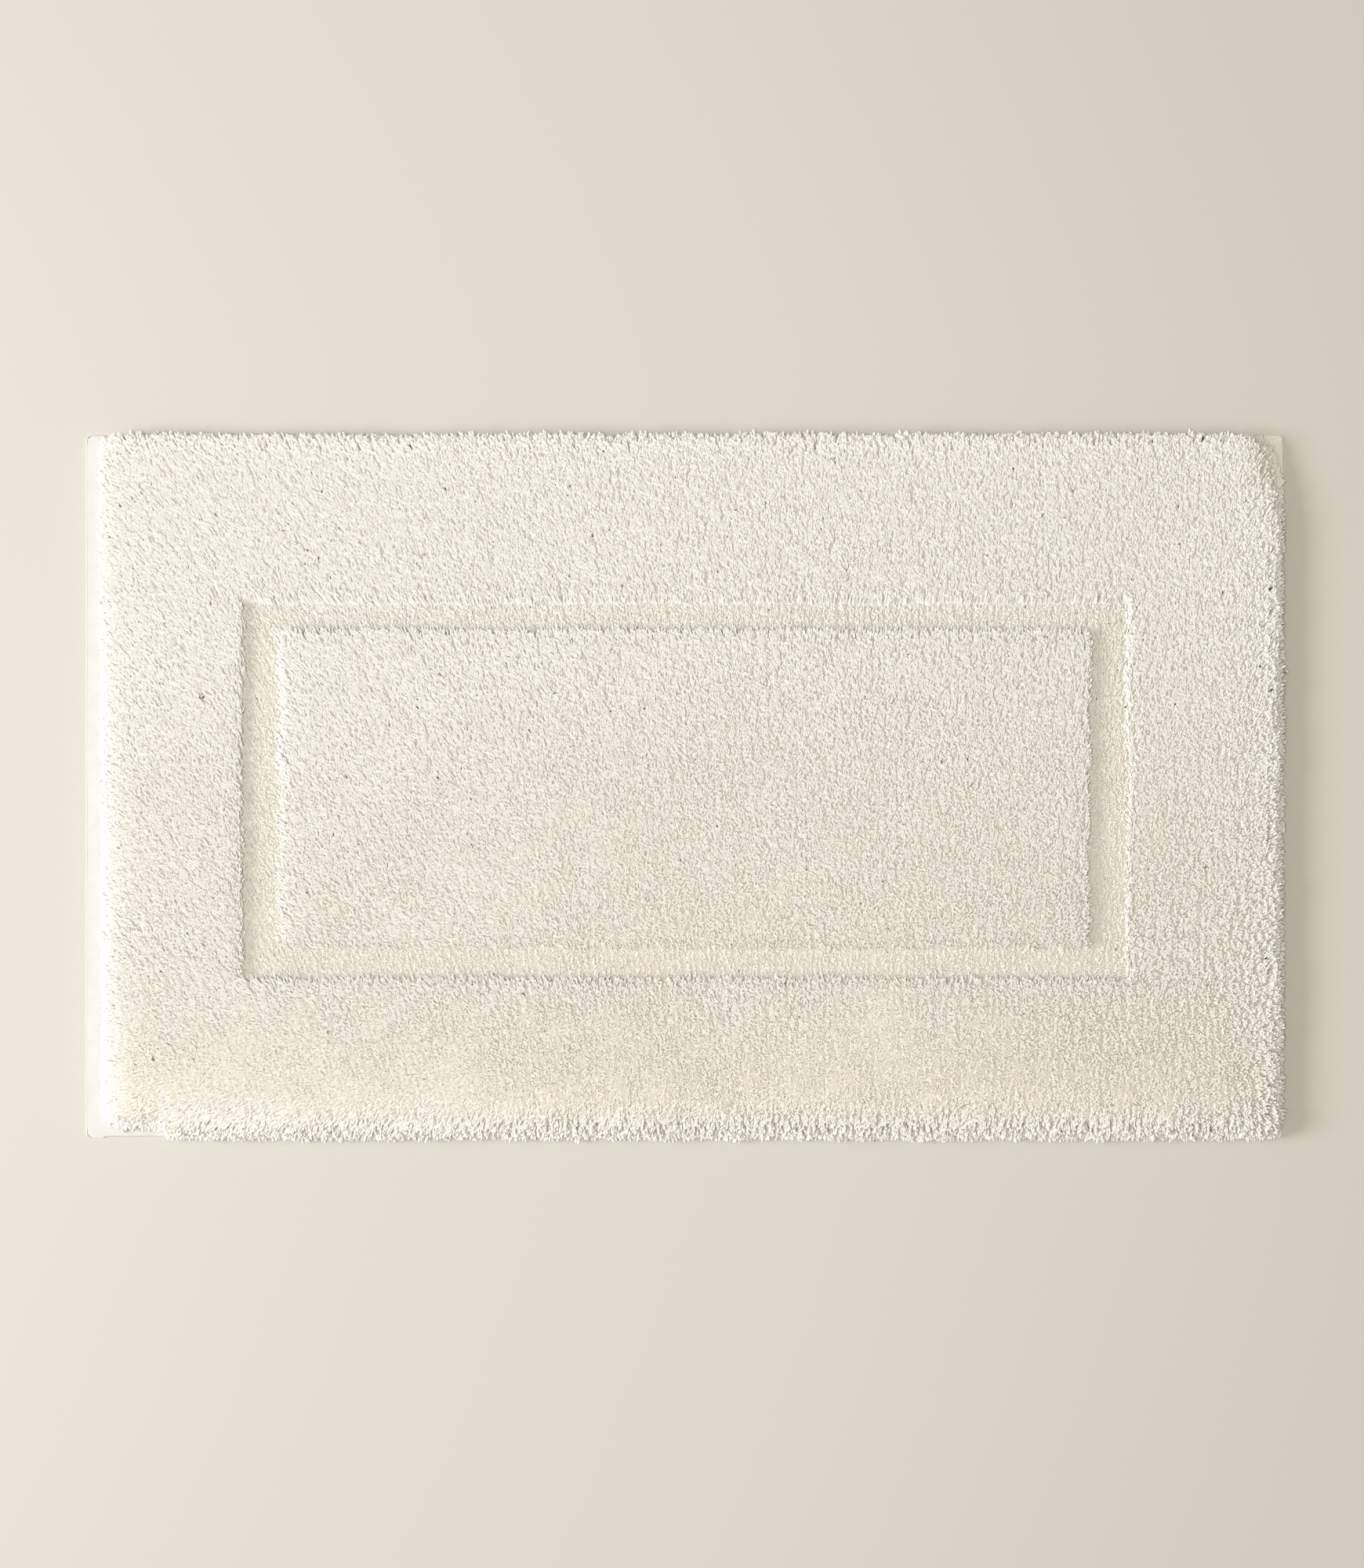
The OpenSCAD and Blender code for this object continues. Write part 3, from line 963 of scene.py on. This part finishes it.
ground = slab_ground_cloth()
ground.data.materials.append(cloth)
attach(ground, "root")
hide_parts("ground_cloth")

GAUGE = 4 * MM              # from one row of tufts to the next, as the underside shows them
ROW_RELIEF = 0.35 * MM


def latex_underside(x, y):
    """The rows of back-stitches show through the latex as low ridges, which stand on the floor."""
    sway = 0.25 * MM * smooth_noise(x, y, 60 * MM, 761)
    groove = 0.5 + 0.5 * np.cos(2 * math.pi * (y + sway) / GAUGE)
    return ROW_RELIEF * groove * (0.8 + 0.2 * smooth_noise(x, y, 8 * MM, 762))


latex_sheet = grid_slab(
    "latex_sheet", steps(latex_low.x, latex_high.x, 8 * MM), steps(latex_low.y, latex_high.y, GAUGE / 3),
    lambda x, y: np.ones(x.shape, bool), lambda x, y: np.full(x.shape, latex_high.z), latex_underside)
latex_sheet.data.materials.append(latex)
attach(latex_sheet, "root")
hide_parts("latex_coat")

STITCH_LENGTH, STITCH_PITCH = 3.4 * MM, 4.5 * MM
PLY_R, PLY_OFFSET, PLY_TURNS = 0.115 * MM, 0.095 * MM, 2.5
THREAD_STEPS = (0.12, 0.25, 0.375, 0.5, 0.625, 0.75, 0.88)
THREAD_RINGS = ((0.0, 0.8), *((t, 1.0) for t in THREAD_STEPS), (0.98, 0.7))


def stitch_plies(side):
    """The two plies of each stitch of one hem's seam, drawn tight to the cloth and down into it."""
    low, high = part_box("hem_thread_" + side)
    axis = 1 if side in ("left", "right") else 0
    count = int(round((high[axis] - low[axis] - STITCH_LENGTH) / STITCH_PITCH)) + 1
    middle = low[axis] + STITCH_LENGTH / 2 + np.arange(count) * STITCH_PITCH
    t = np.linspace(0, 1, SECTIONS + 1)
    plies = []
    for ply in (0, 1):
        turn = 2 * math.pi * PLY_TURNS * t + math.pi * ply
        run = middle[:, None] + (t[None] - 0.5) * STITCH_LENGTH
        across = (low[1 - axis] + high[1 - axis]) / 2 + PLY_OFFSET * np.cos(turn)[None] + 0 * run
        z = 0.24 * MM + 0.2 * MM * (2 * t - 1)[None] ** 6 + PLY_OFFSET * np.sin(turn)[None] + 0 * run
        plies.append(np.stack([run, across, z] if axis == 0 else [across, run, z], 2))
    return np.concatenate(plies)


for side in SIDE_WAY:
    plies = stitch_plies(side)
    seam = strand_mesh("seam_thread_" + side, plies, np.zeros(len(plies)), np.full(len(plies), PLY_R),
                       THREAD_RINGS, None, sides=5)
    seam.data.materials.append(thread)
    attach(seam, "root")
    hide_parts("hem_thread_" + side)

# ---------------------------------------------------------------- stage, light and camera

# the strengths and colours of the stage were set to the photograph's tones
FLOOR_COLOUR = (0.655, 0.64, 0.585, 1)
WORLD_COLOUR, WORLD_STRENGTH = (1.0, 0.88, 0.67, 1), 0.22

bpy.ops.mesh.primitive_plane_add(size=12, location=(0, 0, 0))
floor = bpy.context.object
floor.name = "floor"
floor_material, _, floor_shader = node_material("floor_paint", 0.9)
floor_shader.inputs["Base Color"].default_value = FLOOR_COLOUR
floor.data.materials.append(floor_material)

world = bpy.data.worlds.new("studio")
bpy.context.scene.world = world
world.use_nodes = True
world.node_tree.nodes["Background"].inputs["Color"].default_value = WORLD_COLOUR
world.node_tree.nodes["Background"].inputs["Strength"].default_value = WORLD_STRENGTH


def area_light(name, place, target, size, power, colour):
    lamp = bpy.data.lights.new(name, "AREA")
    lamp.shape = "DISK"
    lamp.size = size
    lamp.energy = power
    lamp.color = colour
    light = bpy.data.objects.new(name, lamp)
    light.location = place
    light.rotation_euler = (Vector(target) - Vector(place)).to_track_quat("-Z", "Y").to_euler()
    bpy.context.scene.collection.objects.link(light)


area_light("key", (-3.2, -0.15, 2.1), (0, 0, 0), 1.7, 112, (0.95, 0.965, 1.03))
area_light("overhead", (-0.3, 0.0, 3.4), (0, 0, 0), 0.9, 63, (1.0, 0.965, 0.88))

VIEW_WIDTH = 0.984          # what the photograph's frame takes in across, at the floor
FRAME_ASPECT = 2000 / 1740
camera_data = bpy.data.cameras.new("camera")
camera_data.lens = 85
camera = bpy.data.objects.new("camera", camera_data)
CAMERA_X, CAMERA_Y = -1.8 * MM, 2.0 * MM
camera_height = VIEW_WIDTH * FRAME_ASPECT * camera_data.lens / camera_data.sensor_width
camera.location = (CAMERA_X, CAMERA_Y, camera_height)
camera_data.clip_end = 20
bpy.context.scene.collection.objects.link(camera)
bpy.context.scene.camera = camera
bpy.context.scene.view_settings.view_transform = "Standard"
bpy.context.scene.cycles.use_denoising = True
bpy.context.scene.cycles.diffuse_bounces = 12
